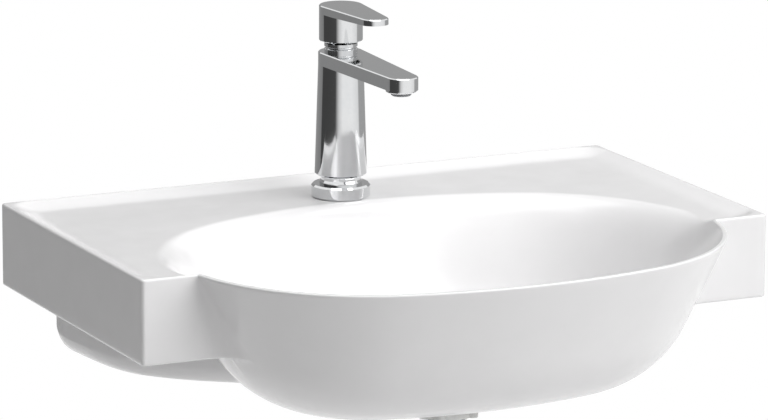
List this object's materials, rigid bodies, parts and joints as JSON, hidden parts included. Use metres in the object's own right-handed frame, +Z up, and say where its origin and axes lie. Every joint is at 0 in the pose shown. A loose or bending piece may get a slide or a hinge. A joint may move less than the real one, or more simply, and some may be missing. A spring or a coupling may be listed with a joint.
{
  "type": "wall-hung washbasin",
  "caption": "White washbasin with a broad dished shelf, an oval bowl that bulges out in front, a chrome single-lever mixer and a push-open waste.",
  "frame": {"origin": "on the wall face, midway between the two wall bolts", "axes": "+X along the wall to the right, +Y into the wall, +Z up; the bowl faces -Y"},
  "size_m": [0.6, 0.5504, 0.3751],
  "materials": {
    "ceramic": "white glaze, glossy",
    "chrome": "polished chrome plate",
    "zinc_steel": "zinc-plated steel",
    "steel": "stainless steel, fine machining marks",
    "brass": "turned brass",
    "black_rubber": "matt black rubber",
    "white_plastic": "moulded white plastic",
    "grey_plastic": "moulded grey plastic"
  },
  "bodies": {
    "basin": {"basin_body": "ceramic", "wall_bolts": "zinc_steel", "wall_sleeves": "white_plastic", "wall_washers": "zinc_steel", "wall_nuts": "zinc_steel", "tap_base_ring": "chrome", "tap_base_seal": "black_rubber", "tap_collar": "chrome", "tap_body": "chrome", "aerator_housing": "chrome", "aerator_seal": "black_rubber", "aerator_nozzle": "grey_plastic", "cartridge": "grey_plastic", "gland_nut": "brass", "neck_cap": "chrome", "tap_stud": "steel", "stud_rubber": "black_rubber", "stud_plate": "zinc_steel", "stud_nut": "brass", "waste_body": "chrome", "flange_gasket": "black_rubber", "click_cartridge": "grey_plastic", "lower_gasket": "black_rubber", "friction_ring": "white_plastic", "back_nut": "white_plastic"},
    "swivel": {"cartridge_rotor": "white_plastic", "stem_pin": "steel"},
    "handle": {"cartridge_stem": "steel", "lever_handle": "chrome", "grub_screw": "steel", "index_plug": "chrome"},
    "plug": {"waste_plug": "chrome", "plug_ring": "black_rubber", "plug_stem": "white_plastic"}
  },
  "joints": [
    {"name": "lever_turn", "type": "hinge", "parent": "basin", "child": "swivel", "pos_m": [0, -0.074, 0.213], "axis": [0, 0, 1], "range_deg": [-45, 45]},
    {"name": "lever_lift", "type": "hinge", "parent": "swivel", "child": "handle", "pos_m": [0, -0.074, 0.213], "axis": [-1, 0, 0], "range_deg": [0, 22]},
    {"name": "plug_rise", "type": "slide", "parent": "basin", "child": "plug", "axis": [0, 0, 1], "range_m": [0, 0.008]}
  ]
}
